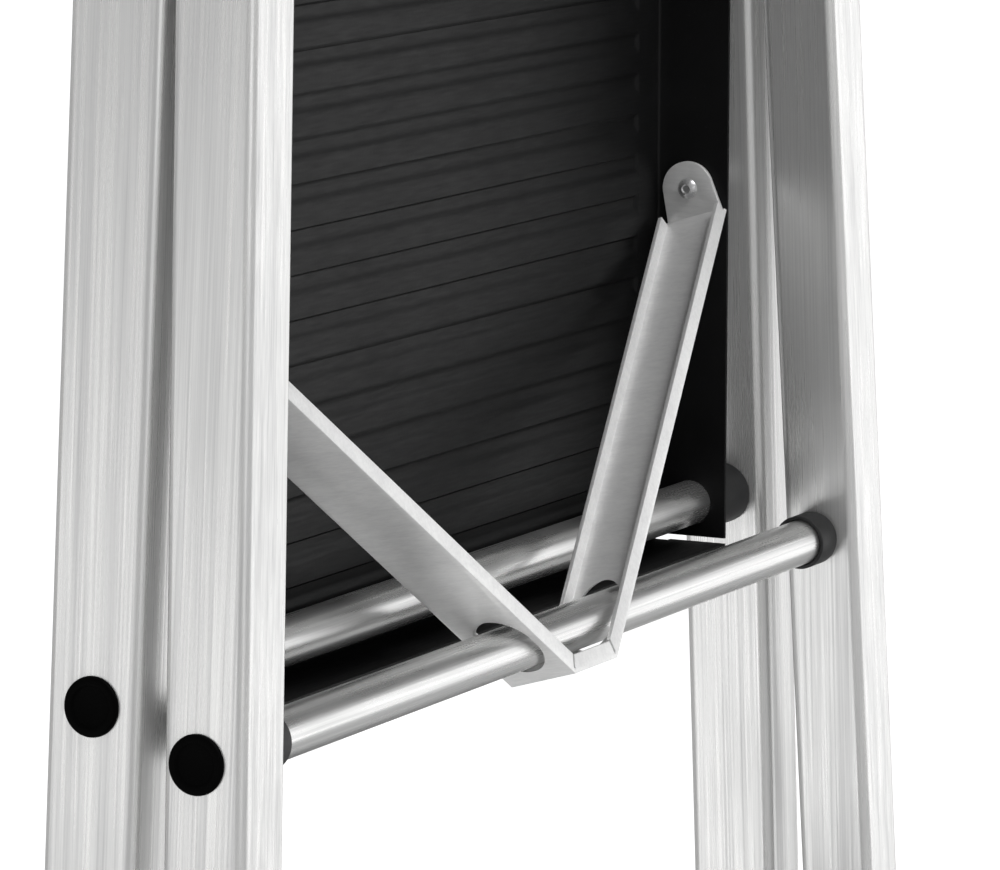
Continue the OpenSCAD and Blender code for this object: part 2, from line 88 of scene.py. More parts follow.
lightPlan = [
    # name, direction from the stool, distance, width, height, brightness
    ("boxBehindLeft", (-0.88, 0.46, -0.01), 2.6, 1.9, 1.5, 1.02),
    ("boxSide", (0.89, -0.45, -0.07), 3.2, 2.6, 0.75, 1.0),
    ("boxCamera", (0.55, 0.80, 0.22), 3.4, 1.6, 1.6, 0.95),
    ("boxFront", (-0.30, -0.85, 0.45), 3.2, 2.2, 1.8, 0.8),
    ("boxAbove", (0.10, 0.50, 0.86), 3.0, 1.4, 1.4, 6.5),
]


def makeLights(plan):
    middle = Vector((0, 0, platformPivot.z))
    for name, direction, distance, width, height, brightness in plan:
        toward = Vector(direction).normalized()
        data = bpy.data.lights.new(name, "AREA")
        data.shape = "RECTANGLE"
        data.size, data.size_y = width, height
        data.energy = brightness * math.pi * width * height
        lamp = bpy.data.objects.new(name, data)
        scene.collection.objects.link(lamp)
        lamp.location = middle + toward * distance
        lamp.rotation_euler = toward.to_track_quat("Z", "Y").to_euler()
        lamp.visible_camera = False


studioPlan = {
    "seen": 1.0,  # brightness of the backdrop to the camera
    "level": 0.40,  # brightness of the studio to everything else
    "patches": [
        # direction, inner and outer half angle in degrees, brightness
        ((-0.88, -0.45, 0.05), 22, 42, 0.12),
        ((0.86, -0.44, -0.25), 8, 16, 0.16),
        ((0.80, -0.42, -0.50), 11, 18, 1.9),
        ((-0.39, -0.45, -0.80), 20, 38, 0.65),
        ((-0.88, 0.10, 0.55), 14, 30, 0.14),
        ((-0.80, 0.25, -0.50), 10, 24, 0.55),
    ],
}


def makeWorld(plan):
    # white to the camera, a studio with pale and dark cards to everything else
    world = bpy.data.worlds.new("studio")
    scene.world = world
    world.use_nodes = True
    tree = world.node_tree
    tree.nodes.clear()
    link = tree.links.new
    coordinates = tree.nodes.new("ShaderNodeTexCoord")
    level = None
    for direction, inner, outer, brightness in plan["patches"]:
        dot = tree.nodes.new("ShaderNodeVectorMath")
        dot.operation = "DOT_PRODUCT"
        dot.inputs[1].default_value = Vector(direction).normalized()
        edge = tree.nodes.new("ShaderNodeMapRange")
        edge.interpolation_type = "SMOOTHSTEP"
        edge.inputs["From Min"].default_value = math.cos(math.radians(outer))
        edge.inputs["From Max"].default_value = math.cos(math.radians(inner))
        mix = tree.nodes.new("ShaderNodeMix")
        mix.data_type = "FLOAT"
        mix.inputs[2].default_value = plan["level"]
        mix.inputs[3].default_value = brightness
        link(coordinates.outputs["Generated"], dot.inputs[0])
        link(dot.outputs["Value"], edge.inputs["Value"])
        link(edge.outputs["Result"], mix.inputs[0])
        if level is not None:
            link(level, mix.inputs[2])
        level = mix.outputs[0]
    path = tree.nodes.new("ShaderNodeLightPath")
    seen = tree.nodes.new("ShaderNodeMix")
    seen.data_type = "FLOAT"
    seen.inputs[3].default_value = plan["seen"]
    background = tree.nodes.new("ShaderNodeBackground")
    output = tree.nodes.new("ShaderNodeOutputWorld")
    link(path.outputs["Is Camera Ray"], seen.inputs[0])
    link(level, seen.inputs[2])
    link(seen.outputs[0], background.inputs["Strength"])
    link(background.outputs[0], output.inputs["Surface"])
    background.inputs["Color"].default_value = (1, 1, 1, 1)
    scene.view_settings.view_transform = "Standard"


floorPlan = {
    "size": 9.0,  # metres from the stool to the wall
    "halfWidth": 12.0,
    "curve": 2.0,
    "wall": 7.0,
    "tone": 0.92,
    "roughness": 0.9,
    "glow": 0.55,
}


def makeFloor(plan):
    # a pale floor that curves up into a wall on the far side of the stool
    size, curve, wide = plan["size"], plan["curve"], plan["halfWidth"]
    turns = [math.radians(angle) for angle in range(10, 91, 10)]
    profile = [(-size, 0.0), (size - curve, 0.0)]
    profile += [(size - curve + curve * math.sin(turn), curve - curve * math.cos(turn)) for turn in turns]
    profile.append((size, plan["wall"]))
    azimuth = math.radians(cameraPlan["azimuth"])
    away = Vector((-math.sin(azimuth), math.cos(azimuth), 0))
    side = Vector((away.y, -away.x, 0))
    verts = [away * d + Vector((0, 0, z)) + side * s for d, z in profile for s in (-wide, wide)]
    faces = [(2 * i, 2 * i + 1, 2 * i + 3, 2 * i + 2) for i in range(len(profile) - 1)]
    mesh = bpy.data.meshes.new("floor")
    mesh.from_pydata(verts, [], faces)
    floor = bpy.data.objects.new("floor", mesh)
    scene.collection.objects.link(floor)
    material = bpy.data.materials.new("paleFloor")
    material.use_nodes = True
    shader = material.node_tree.nodes["Principled BSDF"]
    shader.inputs["Base Color"].default_value = (plan["tone"], plan["tone"], plan["tone"], 1)
    shader.inputs["Roughness"].default_value = plan["roughness"]
    shader.inputs["Emission Color"].default_value = (1, 1, 1, 1)
    shader.inputs["Emission Strength"].default_value = plan["glow"]
    mesh.materials.append(material)
    floor.visible_glossy = False


makeCamera(cameraPlan)
makeLights(lightPlan)
makeWorld(studioPlan)
makeFloor(floorPlan)
print("stage, lights and camera are made")


def newMaterial(name, color, metallic, roughness, **more):
    material = bpy.data.materials.new(name)
    material.use_nodes = True
    shader = material.node_tree.nodes["Principled BSDF"]
    shader.inputs["Base Color"].default_value = (*color, 1)
    shader.inputs["Metallic"].default_value = metallic
    shader.inputs["Roughness"].default_value = roughness
    for socket, value in more.items():
        shader.inputs[socket.replace("_", " ")].default_value = value
    return material, material.node_tree, shader


def stretchedNoise(tree, scale, turn=(0, 0, 0), detail=4.0, roughness=0.6):
    # noise on the piece's own coordinates; scale is cycles per metre along each axis
    coordinates = tree.nodes.new("ShaderNodeTexCoord")
    mapping = tree.nodes.new("ShaderNodeMapping")
    mapping.vector_type = "TEXTURE"
    mapping.inputs["Rotation"].default_value = turn
    mapping.inputs["Scale"].default_value = [1 / s for s in scale]
    noise = tree.nodes.new("ShaderNodeTexNoise")
    noise.inputs["Scale"].default_value = 1.0
    noise.inputs["Detail"].default_value = detail
    noise.inputs["Roughness"].default_value = roughness
    tree.links.new(coordinates.outputs["Object"], mapping.inputs["Vector"])
    tree.links.new(mapping.outputs["Vector"], noise.inputs["Vector"])
    return noise.outputs["Fac"]


def ranged(tree, value, fromLow, fromHigh, toLow, toHigh):
    node = tree.nodes.new("ShaderNodeMapRange")
    tree.links.new(value, node.inputs["Value"])
    ends = {"From Min": fromLow, "From Max": fromHigh, "To Min": toLow, "To Max": toHigh}
    for name, number in ends.items():
        node.inputs[name].default_value = number
    return node.outputs["Result"]


def mixed(tree, share, first, second):
    node = tree.nodes.new("ShaderNodeMix")
    node.data_type = "RGBA"
    tree.links.new(share, node.inputs["Factor"])
    for socket, value in ((node.inputs[6], first), (node.inputs[7], second)):
        if isinstance(value, tuple):
            socket.default_value = (*value, 1)
        else:
            tree.links.new(value, socket)
    return node.outputs[2]


def calc(tree, operation, first, second=None, third=None):
    # a Math node; each value is a number or another node's output
    node = tree.nodes.new("ShaderNodeMath")
    node.operation = operation
    for index, value in enumerate((first, second, third)):
        if value is None:
            continue
        if isinstance(value, (int, float)):
            node.inputs[index].default_value = value
        else:
            tree.links.new(value, node.inputs[index])
    return node.outputs[0]


def bumped(tree, shader, height, strength, distance):
    bump = tree.nodes.new("ShaderNodeBump")
    bump.inputs["Strength"].default_value = strength
    bump.inputs["Distance"].default_value = distance
    tree.links.new(height, bump.inputs["Height"])
    tree.links.new(bump.outputs["Normal"], shader.inputs["Normal"])


brushing = {
    "fineShare": 0.55,
    "toneRange": (0.36, 0.62),
    "glossRange": (0.35, 0.65),
    "smudge": (14, 14, 9),  # cycles per metre
    "smudgeRange": (0.45, 0.7),
    "smudgeHaze": 0.09,
    "scratchDepth": 0.0004,
}


def brushedMetal(name, grain, band, turn=(0, 0, 0), light=(0.80, 0.80, 0.79), dark=(0.60, 0.60, 0.60),
                 smooth=0.20, rough=0.38, depth=0.05, metallic=0.64):
    # fine scratches along the grain, wider bands of them, and a few smudges; the haze that the
    # brushing leaves scatters part of the light, so the metal isn't fully a mirror
    material, tree, shader = newMaterial(name, light, metallic, 0.3)
    fine = stretchedNoise(tree, grain, turn, 3.0, 0.7)
    wide = stretchedNoise(tree, band, turn, 4.0, 0.6)
    smudge = stretchedNoise(tree, brushing["smudge"], turn, 3.0, 0.5)
    finePart = calc(tree, "MULTIPLY", fine, brushing["fineShare"])
    widePart = calc(tree, "MULTIPLY", wide, 1 - brushing["fineShare"])
    both = calc(tree, "ADD", finePart, widePart)
    tone = mixed(tree, ranged(tree, both, *brushing["toneRange"], 0, 1), dark, light)
    tree.links.new(tone, shader.inputs["Base Color"])
    gloss = ranged(tree, both, *brushing["glossRange"], rough, smooth)
    haze = ranged(tree, smudge, *brushing["smudgeRange"], 0.0, brushing["smudgeHaze"])
    tree.links.new(calc(tree, "ADD", gloss, haze), shader.inputs["Roughness"])
    bumped(tree, shader, fine, depth, brushing["scratchDepth"])
    return material


def paintedBlack(name, along=(90, 900, 900)):
    # satin black coating: orange peel, faint rolling marks along the sheet, and dust
    material, tree, shader = newMaterial(name, (0.012, 0.012, 0.013), 0.0, 0.5, Specular_IOR_Level=0.17)
    peel = stretchedNoise(tree, (700, 700, 700), detail=2.0)
    rolled = stretchedNoise(tree, along, detail=3.0)
    cloud = stretchedNoise(tree, (16, 16, 16), detail=5.0)
    dust = stretchedNoise(tree, (1500, 1500, 1500), detail=1.0)
    cloudy = ranged(tree, cloud, 0.35, 0.7, 0, 1)
    tone = mixed(tree, cloudy, (0.0025, 0.0025, 0.0027), (0.006, 0.006, 0.0063))
    specks = ranged(tree, dust, 0.74, 0.8, 0.0, 0.3)
    tree.links.new(mixed(tree, specks, tone, (0.05, 0.05, 0.049)), shader.inputs["Base Color"])
    marks = calc(tree, "ADD", calc(tree, "MULTIPLY", rolled, 0.5), calc(tree, "MULTIPLY", cloud, 0.5))
    tree.links.new(ranged(tree, marks, 0.35, 0.65, 0.44, 0.58), shader.inputs["Roughness"])
    bumped(tree, shader, peel, 0.1, 0.0002)
    return material


def mouldedPlastic(name, color=(0.016, 0.016, 0.017), rough=0.42, grain=1400, shine=0.4):
    material, tree, shader = newMaterial(name, color, 0.0, rough, Specular_IOR_Level=shine)
    texture = stretchedNoise(tree, (grain, grain, grain), detail=2.0)
    flow = stretchedNoise(tree, (35, 35, 35), detail=4.0)
    paler = tuple(c * 2.2 for c in color)
    flowing = ranged(tree, flow, 0.4, 0.75, 0, 1)
    tree.links.new(mixed(tree, flowing, color, paler), shader.inputs["Base Color"])
    tree.links.new(ranged(tree, flow, 0.3, 0.7, rough - 0.07, rough + 0.1), shader.inputs["Roughness"])
    bumped(tree, shader, texture, 0.25, 0.0002)
    return material


def footRubber(name):
    # matt rubber that turns grey with dust towards the floor
    material, tree, shader = newMaterial(name, (0.02, 0.02, 0.02), 0.0, 0.75)
    texture = stretchedNoise(tree, (900, 900, 900), detail=4.0)
    patches = stretchedNoise(tree, (60, 60, 40), detail=6.0)
    coordinates = tree.nodes.new("ShaderNodeTexCoord")
    split = tree.nodes.new("ShaderNodeSeparateXYZ")
    tree.links.new(coordinates.outputs["Object"], split.inputs[0])
    nearFloor = ranged(tree, split.outputs["Z"], 0.0, 0.02, 0.45, 0.0)
    dusty = calc(tree, "MULTIPLY", nearFloor, patches)
    tone = mixed(tree, dusty, (0.017, 0.017, 0.017), (0.16, 0.155, 0.15))
    tree.links.new(tone, shader.inputs["Base Color"])
    tree.links.new(ranged(tree, patches, 0.3, 0.7, 0.65, 0.85), shader.inputs["Roughness"])
    bumped(tree, shader, texture, 0.3, 0.0003)
    return material


legGrain = {"grain": (1500, 1500, 9), "band": (260, 260, 2.2)}
barGrain = {"grain": (9, 1500, 1500), "band": (3, 240, 240)}
materials = {
    "legLeft": brushedMetal("legBrushedLeft", turn=(0, splay, 0), **legGrain),
    "legRight": brushedMetal("legBrushedRight", turn=(0, -splay, 0), **legGrain),
    "tube": brushedMetal("tubeSatin", rough=0.33, smooth=0.22, metallic=0.92, **barGrain),
    "link": brushedMetal("linkSheet", (900, 120, 900), (160, 12, 160), light=(0.84, 0.84, 0.835),
                         dark=(0.74, 0.74, 0.74), rough=0.5, smooth=0.4, depth=0.03, metallic=0.45),
    "rivet": brushedMetal("rivetSteel", (700, 700, 700), (120, 120, 120), light=(0.62, 0.62, 0.62),
                          dark=(0.40, 0.40, 0.41), rough=0.42, smooth=0.24, depth=0.08),
    "sheet": paintedBlack("platformPaint"),
    "plastic": mouldedPlastic("blackPlastic"),
    "plug": mouldedPlastic("plugPlastic", (0.0006, 0.0006, 0.0006), 0.5, 1100, 0.03),
    "sleeve": mouldedPlastic("sleevePlastic", (0.014, 0.014, 0.0145), 0.5, 900, 0.35),
    "rubber": footRubber("footRubber"),
}
print("materials are made:", len(materials))


def paint(obj, material):
    obj.data.materials.clear()
    obj.data.materials.append(material)
    for face in obj.data.polygons:
        face.material_index = 0


def linked(name, mesh):
    obj = bpy.data.objects.new(name, mesh)
    scene.collection.objects.link(obj)
    return obj


def meshFrom(name, bm):
    mesh = bpy.data.meshes.new(name)
    bm.to_mesh(mesh)
    bm.free()
    return mesh


def baked(obj, name):
    # the evaluated object becomes a plain mesh, and the one with modifiers goes
    bpy.context.view_layer.update()
    evaluated = obj.evaluated_get(bpy.context.evaluated_depsgraph_get())
    mesh = bpy.data.meshes.new_from_object(evaluated)
    bpy.data.objects.remove(obj)
    mesh.name = name
    return linked(name, mesh)


def addBevel(obj, width, segments=2, angle=30):
    bevel = obj.modifiers.new("bevel", "BEVEL")
    bevel.width = width
    bevel.segments = segments
    bevel.limit_method = "ANGLE"
    bevel.angle_limit = math.radians(angle)
    bevel.use_clamp_overlap = True
    bevel.harden_normals = False
    return bevel


def smoothShaded(obj, angle=35):
    mesh = obj.data
    for face in mesh.polygons:
        face.use_smooth = True
    mesh.set_sharp_from_angle(angle=math.radians(angle))


def finished(obj, body, slot, *replaced):
    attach(obj, body)
    if replaced:
        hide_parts(*replaced)
    return obj


joinDistance = 0.004 * mm  # corners of a CAD node closer than this are one
flatAngle = math.radians(0.6)  # triangles closer to flat than this become one face


def mergedCopy(node):
    bm = bmesh.new()
    bm.from_mesh(nodes[node].data)
    bmesh.ops.remove_doubles(bm, verts=bm.verts, dist=joinDistance)
    bmesh.ops.dissolve_limit(bm, angle_limit=flatAngle, verts=bm.verts, edges=bm.edges)
    return bm


def softened(name, node, body, slot, material, width, segments=2):
    # a copy of a CAD node with its edges broken, as moulding and deburring leave them
    obj = linked(name, meshFrom(name, mergedCopy(node)))
    addBevel(obj, width * mm, segments)
    obj = baked(obj, name)
    smoothShaded(obj)
    paint(obj, materials[material])
    return finished(obj, body, slot, node)


def lathed(profile, segments=40):
    # closed solid of revolution about Z; profile runs from the axis to the axis, in mm
    bm = bmesh.new()
    rings = []
    for radius, height in profile:
        if radius < 1e-6:
            rings.append([bm.verts.new((0, 0, height * mm))])
        else:
            rings.append([bm.verts.new((radius * mm * math.cos(2 * math.pi * i / segments),
                                        radius * mm * math.sin(2 * math.pi * i / segments), height * mm))
                          for i in range(segments)])
    for low, high in zip(rings, rings[1:]):
        for i in range(segments):
            j = (i + 1) % segments
            corners = [low[i % len(low)], low[j % len(low)], high[j % len(high)], high[i % len(high)]]
            bm.faces.new(list(dict.fromkeys(corners)))
    bmesh.ops.recalc_face_normals(bm, faces=bm.faces)
    return bm


def newTree(name, inputs):
    tree = bpy.data.node_groups.new(name, "GeometryNodeTree")
    tree.interface.new_socket("Geometry", in_out="INPUT", socket_type="NodeSocketGeometry")
    for label, kind in inputs:
        tree.interface.new_socket(label, in_out="INPUT", socket_type="NodeSocket" + kind)
    tree.interface.new_socket("Geometry", in_out="OUTPUT", socket_type="NodeSocketGeometry")
    return tree, tree.nodes.new("NodeGroupInput"), tree.nodes.new("NodeGroupOutput")


def eased(tree, value, fromLow, fromHigh):
    # 1 below fromLow, 0 above fromHigh, smooth between
    node = tree.nodes.new("ShaderNodeMapRange")
    node.interpolation_type = "SMOOTHSTEP"
    for name, source in (("Value", value), ("From Min", fromLow), ("From Max", fromHigh)):
        if isinstance(source, (int, float)):
            node.inputs[name].default_value = source
        else:
            tree.links.new(source, node.inputs[name])
    node.inputs["To Min"].default_value, node.inputs["To Max"].default_value = 1.0, 0.0
    return node.outputs["Result"]


def ribTree():
    # presses a row of ribs into a sheet that lies in XZ, out towards -Y
    names = ["First", "Pitch", "Last Number", "Half Width", "Sharp Slope", "Soft Slope", "Depth",
             "Rib Half Length", "End Slope"]
    tree, source, sink = newTree("pressedRibs", [(name, "Float") for name in names])
    size = source.outputs
    position = tree.nodes.new("GeometryNodeInputPosition")
    split = tree.nodes.new("ShaderNodeSeparateXYZ")
    tree.links.new(position.outputs[0], split.inputs[0])
    x, z = split.outputs["X"], split.outputs["Z"]
    height = calc(tree, "SUBTRACT", z, size["First"])
    number = calc(tree, "ROUND", calc(tree, "DIVIDE", height, size["Pitch"]))
    number = calc(tree, "MAXIMUM", calc(tree, "MINIMUM", number, size["Last Number"]), 0.0)
    middle = calc(tree, "MULTIPLY_ADD", number, size["Pitch"], size["First"])
    above = calc(tree, "SUBTRACT", z, middle)
    below = calc(tree, "MULTIPLY", above, -1.0)
    halfWidth, halfLength = size["Half Width"], size["Rib Half Length"]
    upper = eased(tree, above, calc(tree, "SUBTRACT", halfWidth, size["Sharp Slope"]), halfWidth)
    lower = eased(tree, below, calc(tree, "SUBTRACT", halfWidth, size["Soft Slope"]), halfWidth)
    inward = calc(tree, "SUBTRACT", halfLength, size["End Slope"])
    ends = eased(tree, calc(tree, "ABSOLUTE", x), inward, halfLength)
    push = calc(tree, "MINIMUM", calc(tree, "MINIMUM", upper, lower), ends)
    push = calc(tree, "MULTIPLY", calc(tree, "MULTIPLY", push, size["Depth"]), -1.0)
    offset = tree.nodes.new("ShaderNodeCombineXYZ")
    move = tree.nodes.new("GeometryNodeSetPosition")
    tree.links.new(push, offset.inputs["Y"])
    tree.links.new(source.outputs["Geometry"], move.inputs["Geometry"])
    tree.links.new(offset.outputs[0], move.inputs["Offset"])
    tree.links.new(move.outputs[0], sink.inputs[0])
    return tree


def placingTree():
    # sets a template on each point, with its Z along the point's "facing" attribute
    inputs = [("Template", "Object"), ("Size", "Float"), ("Material", "Material")]
    tree, source, sink = newTree("placedParts", inputs)
    info = tree.nodes.new("GeometryNodeObjectInfo")
    facing = tree.nodes.new("GeometryNodeInputNamedAttribute")
    facing.data_type = "FLOAT_VECTOR"
    facing.inputs["Name"].default_value = "facing"
    turn = tree.nodes.new("FunctionNodeAlignRotationToVector")
    turn.axis = "Z"
    instances = tree.nodes.new("GeometryNodeInstanceOnPoints")
    real = tree.nodes.new("GeometryNodeRealizeInstances")
    dress = tree.nodes.new("GeometryNodeSetMaterial")
    link = tree.links.new
    link(source.outputs["Template"], info.inputs["Object"])
    link(facing.outputs["Attribute"], turn.inputs["Vector"])
    link(source.outputs["Geometry"], instances.inputs["Points"])
    link(info.outputs["Geometry"], instances.inputs["Instance"])
    link(turn.outputs[0], instances.inputs["Rotation"])
    link(source.outputs["Size"], instances.inputs["Scale"])
    link(instances.outputs[0], real.inputs[0])
    link(real.outputs[0], dress.inputs["Geometry"])
    link(source.outputs["Material"], dress.inputs["Material"])
    link(dress.outputs[0], sink.inputs[0])
    return tree


def addTree(obj, tree, values):
    modifier = obj.modifiers.new(tree.name, "NODES")
    modifier.node_group = tree
    for item in tree.interface.items_tree:
        if item.in_out == "INPUT" and item.name in values:
            modifier[item.identifier] = values[item.name]
    return modifier


ribs, placing = ribTree(), placingTree()


def placed(name, template, spots, body, slot, material, *replaced, angle=35):
    # spots: (point, direction) in metres, in the row frame
    shape = linked(name + "Template", meshFrom(name + "Template", template))
    mesh = bpy.data.meshes.new(name)
    mesh.from_pydata([point for point, facing in spots], [], [])
    facings = mesh.attributes.new("facing", "FLOAT_VECTOR", "POINT")
    facings.data.foreach_set("vector", [value for point, facing in spots for value in facing])
    obj = linked(name, mesh)
    addTree(obj, placing, {"Template": shape, "Size": 1.0, "Material": materials[material]})
    obj = baked(obj, name)
    bpy.data.objects.remove(shape)
    smoothShaded(obj, angle)
    return finished(obj, body, slot, *replaced)


tray = {
    "sheet": 1.2,
    "bendRadius": 1.0,
    "insideDepth": 25.6,
    "slitInset": 0.2,  # the side flanges start this far in from the corner's bend
    "tabStart": 0.5,  # past the bend, where the corner tabs start
    "tabGap": 0.2,  # from a tab's end to the outside
    "ribPitch": 13.5,
    "ribFirst": 8.2,
    "ribHalfWidth": 3.4,
    "ribDepth": 1.0,
    "ribMargin": 14.6,
    "sharpSlope": 0.7,
    "softSlope": 3.0,
    "endSlope": 2.6,
    "endPast": 0.5,  # fine columns go this far past a rib's end
    "rowStep": 0.85,
    "columnStep": 24,
    "endStep": 0.45,
    "flangeStep": 4.0,
    "bendSteps": 4,
    "tubeHole": 7.55,
    "rivetHole": 2.05,
    "holePast": 5,  # cutters reach this far outside the tray
}


def span(low, high, step):
    count = max(1, round((high - low) / step))
    return [low + (high - low) * i / count for i in range(count + 1)]


def bend(distance, flat, radius):
    # place and depth, on a sheet that turns up past flat, of a point this far from the middle
    side = -1 if distance < 0 else 1
    past = abs(distance) - flat
    if past <= 0:
        return distance, 0.0
    quarter = radius * math.pi / 2
    if past < quarter:
        angle = past / radius
        return side * (flat + radius * math.sin(angle)), radius * (1 - math.cos(angle))
    return side * (flat + radius), radius + past - quarter


def trayMesh(plan, half, low, high):
    # inner face of the folded sheet in mm: panel on Y = 0, flanges towards +Y
    radius, sheet = plan["bendRadius"], plan["sheet"]
    flatX = half - sheet - radius
    middle = (low + high) / 2
    flatZ = (high - low) / 2 - sheet - radius
    quarter = radius * math.pi / 2
    wing = quarter + plan["insideDepth"] - radius
    ribHalf = half - sheet - plan["ribMargin"]
    ends = span(ribHalf - plan["endSlope"] - plan["endPast"], ribHalf + plan["endPast"], plan["endStep"])
    columns = [-x for x in reversed(ends)] + span(-ends[0], ends[0], plan["columnStep"])[1:-1] + ends
    columns = [-flatX] + columns + [flatX]
    outer = [quarter * i / plan["bendSteps"] for i in range(1, plan["bendSteps"] + 1)]
    outer += [quarter + d for d in span(0, wing - quarter, plan["flangeStep"])[1:]]
    rows = span(-flatZ, flatZ, plan["rowStep"])
    us = [-flatX - d for d in reversed(outer)] + columns + [flatX + d for d in outer]
    vs = [-flatZ - d for d in reversed(outer)] + rows + [flatZ + d for d in outer]
    bm = bmesh.new()
    verts = {}

    def vertex(u, v):
        if (u, v) not in verts:
            x, depthX = bend(u, flatX, radius)
            z, depthZ = bend(v, flatZ, radius)
            verts[u, v] = bm.verts.new(Vector((x, depthX + depthZ, middle + z)) * mm)
        return verts[u, v]

    tiny = 1e-9
    for u0, u1 in zip(us, us[1:]):
        for v0, v1 in zip(vs, vs[1:]):
            farU, farV = max(abs(u0), abs(u1)), max(abs(v0), abs(v1))
            inSlit = farV > flatZ - plan["slitInset"]
            if farU > flatX + tiny and (farV > flatZ + tiny or inSlit):
                continue
            bm.faces.new([vertex(u0, v0), vertex(u1, v0), vertex(u1, v1), vertex(u0, v1)])
    # tabs that carry the upper and lower flanges out to the sides
    first = next(d for d in outer if d > quarter + plan["tabStart"])
    for sideX in (-1, 1):
        for sideZ in (-1, 1):
            reach = [d for d in outer if d >= first]
            for d0, d1 in zip(reach, reach[1:]):
                v0, v1 = sideZ * (flatZ + d0), sideZ * (flatZ + d1)
                inner = [vertex(sideX * flatX, v0), vertex(sideX * flatX, v1)]
                far = []
                for v in (v1, v0):
                    key = ("tab", sideX, v)
                    if key not in verts:
                        z, depth = bend(v, flatZ, radius)
                        tip = sideX * (half - plan["tabGap"])
                        verts[key] = bm.verts.new(Vector((tip, depth, middle + z)) * mm)
                    far.append(verts[key])
                bm.faces.new(inner + far)
    bmesh.ops.recalc_face_normals(bm, faces=bm.faces)
    # the faces look into the tray, and the thickness goes outwards
    inward = sum(face.normal.y * face.calc_area() for face in bm.faces)
    if inward < 0:
        bmesh.ops.reverse_faces(bm, faces=bm.faces)
    return bm, ribHalf


def cutter(name, radius, half, place):
    # a round bar across the stool, to cut a hole in both flanges
    bm = bmesh.new()
    turn = Matrix.Translation(place) @ Matrix.Rotation(math.pi / 2, 4, "Y")
    bmesh.ops.create_cone(bm, cap_ends=True, segments=48, radius1=radius * mm, radius2=radius * mm,
                          depth=2 * half * mm, matrix=turn)
    return linked(name, meshFrom(name, bm))


def makePlatform():
    low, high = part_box("platform_tray")
    half = high.x / mm
    panel = high.y - tray["insideDepth"] * mm
    bm, ribHalf = trayMesh(tray, half, low.z / mm, high.z / mm)
    obj = linked("platformSheet", meshFrom("platformSheet", bm))
    height = (high.z - low.z) / mm
    count = math.floor((height - 2 * tray["ribFirst"]) / tray["ribPitch"])
    values = {
        "First": low.z + tray["ribFirst"] * mm, "Pitch": tray["ribPitch"] * mm, "Last Number": float(count),
        "Half Width": tray["ribHalfWidth"] * mm, "Sharp Slope": tray["sharpSlope"] * mm,
        "Soft Slope": tray["softSlope"] * mm, "Depth": tray["ribDepth"] * mm,
        "Rib Half Length": ribHalf * mm, "End Slope": tray["endSlope"] * mm,
    }
    addTree(obj, ribs, values)
    obj = baked(obj, "platformSheet")
    obj.data.transform(Matrix.Translation((0, panel, 0)))
    thick = obj.modifiers.new("thickness", "SOLIDIFY")
    thick.thickness = tray["sheet"] * mm
    thick.offset = -1.0
    reach = half + tray["holePast"]
    tools = [cutter("tubeCut", tray["tubeHole"], reach, platformPivot),
             cutter("rivetCut", tray["rivetHole"], reach, linkPivot)]
    for tool in tools:
        cut = obj.modifiers.new(tool.name, "BOOLEAN")
        cut.operation, cut.object, cut.solver = "DIFFERENCE", tool, "EXACT"
    obj = baked(obj, "platformSheet")
    for tool in tools:
        bpy.data.objects.remove(tool)
    smoothShaded(obj, 40)
    paint(obj, materials["sheet"])
    finished(obj, "platform", "tread_black", "platform_tray")
    print("platform sheet:", len(obj.data.polygons), "faces")


makePlatform()


softenedNodes = [
    # piece, CAD node, body, slot, material, edge in mm, segments
    ("vLink", "v_link", "link", "link_steel", "link", 0.45, 3),
    ("stepTread", "lower_tread", "front_frame", "tread_black", "sheet", 0.3, 2),
    ("bushingLeft", "bushing_left", "front_frame", "black_plastic", "sleeve", 0.8, 3),
    ("bushingRight", "bushing_right", "front_frame", "black_plastic", "sleeve", 0.8, 3),
    ("crossbarSleeveLeft", "crossbar_collar_left", "link", "black_plastic", "sleeve", 0.5, 3),
    ("crossbarSleeveRight", "crossbar_collar_right", "link", "black_plastic", "sleeve", 0.5, 3),
    ("braceSleeves", "brace_collars", "rear_frame", "black_plastic", "sleeve", 0.5, 3),
]
for side in ("left", "right"):
    cap = side.capitalize()
    softenedNodes += [
        ("hingeClevis" + cap, "hinge_block_" + side, "front_frame", "black_plastic", "plastic", 0.7, 3),
        ("hingeKnuckle" + cap, "hinge_knuckle_" + side, "rear_frame", "black_plastic", "plastic", 0.6, 3),
        ("railCorner" + cap, "rail_corner_" + side, "front_frame", "black_plastic", "plastic", 1.6, 4),
        ("frontFoot" + cap, "front_foot_" + side, "front_frame", "foot_rubber", "rubber", 1.0, 3),
        ("rearFoot" + cap, "rear_foot_" + side, "rear_frame", "foot_rubber", "rubber", 1.0, 3),
    ]
for row in softenedNodes:
    softened(*row)
print("softened pieces:", len(softenedNodes))

for side in ("left", "right"):
    paint(nodes["front_leg_" + side], materials["leg" + side.capitalize()])
    paint(nodes["rear_leg_" + side], materials["leg" + side.capitalize()])
for node in ("hand_rail", "platform_tube", "rear_brace", "rear_crossbar"):
    paint(nodes[node], materials["tube"])
paint(nodes["hinge_pins"], materials["rivet"])


plug = {
    "radius": 8.7,
    "rim": 1.4,
    "step": 5.9,
    "dish": 0.55,
    "lip": [(-0.5, 0.0), (-0.1, 0.1)],  # out from the step, up from the dish
    "crest": [(0.2, 0.12), (0.6, 0.0)],  # out from the step, down from the rim
    "edge": [(0.9, 0.02), (0.4, 0.18), (0.1, 0.5), (0.0, 0.9)],  # in from the edge, down from the rim
    "stem": 5.0,
    "stemLength": 7.5,
    "sides": 56,
}


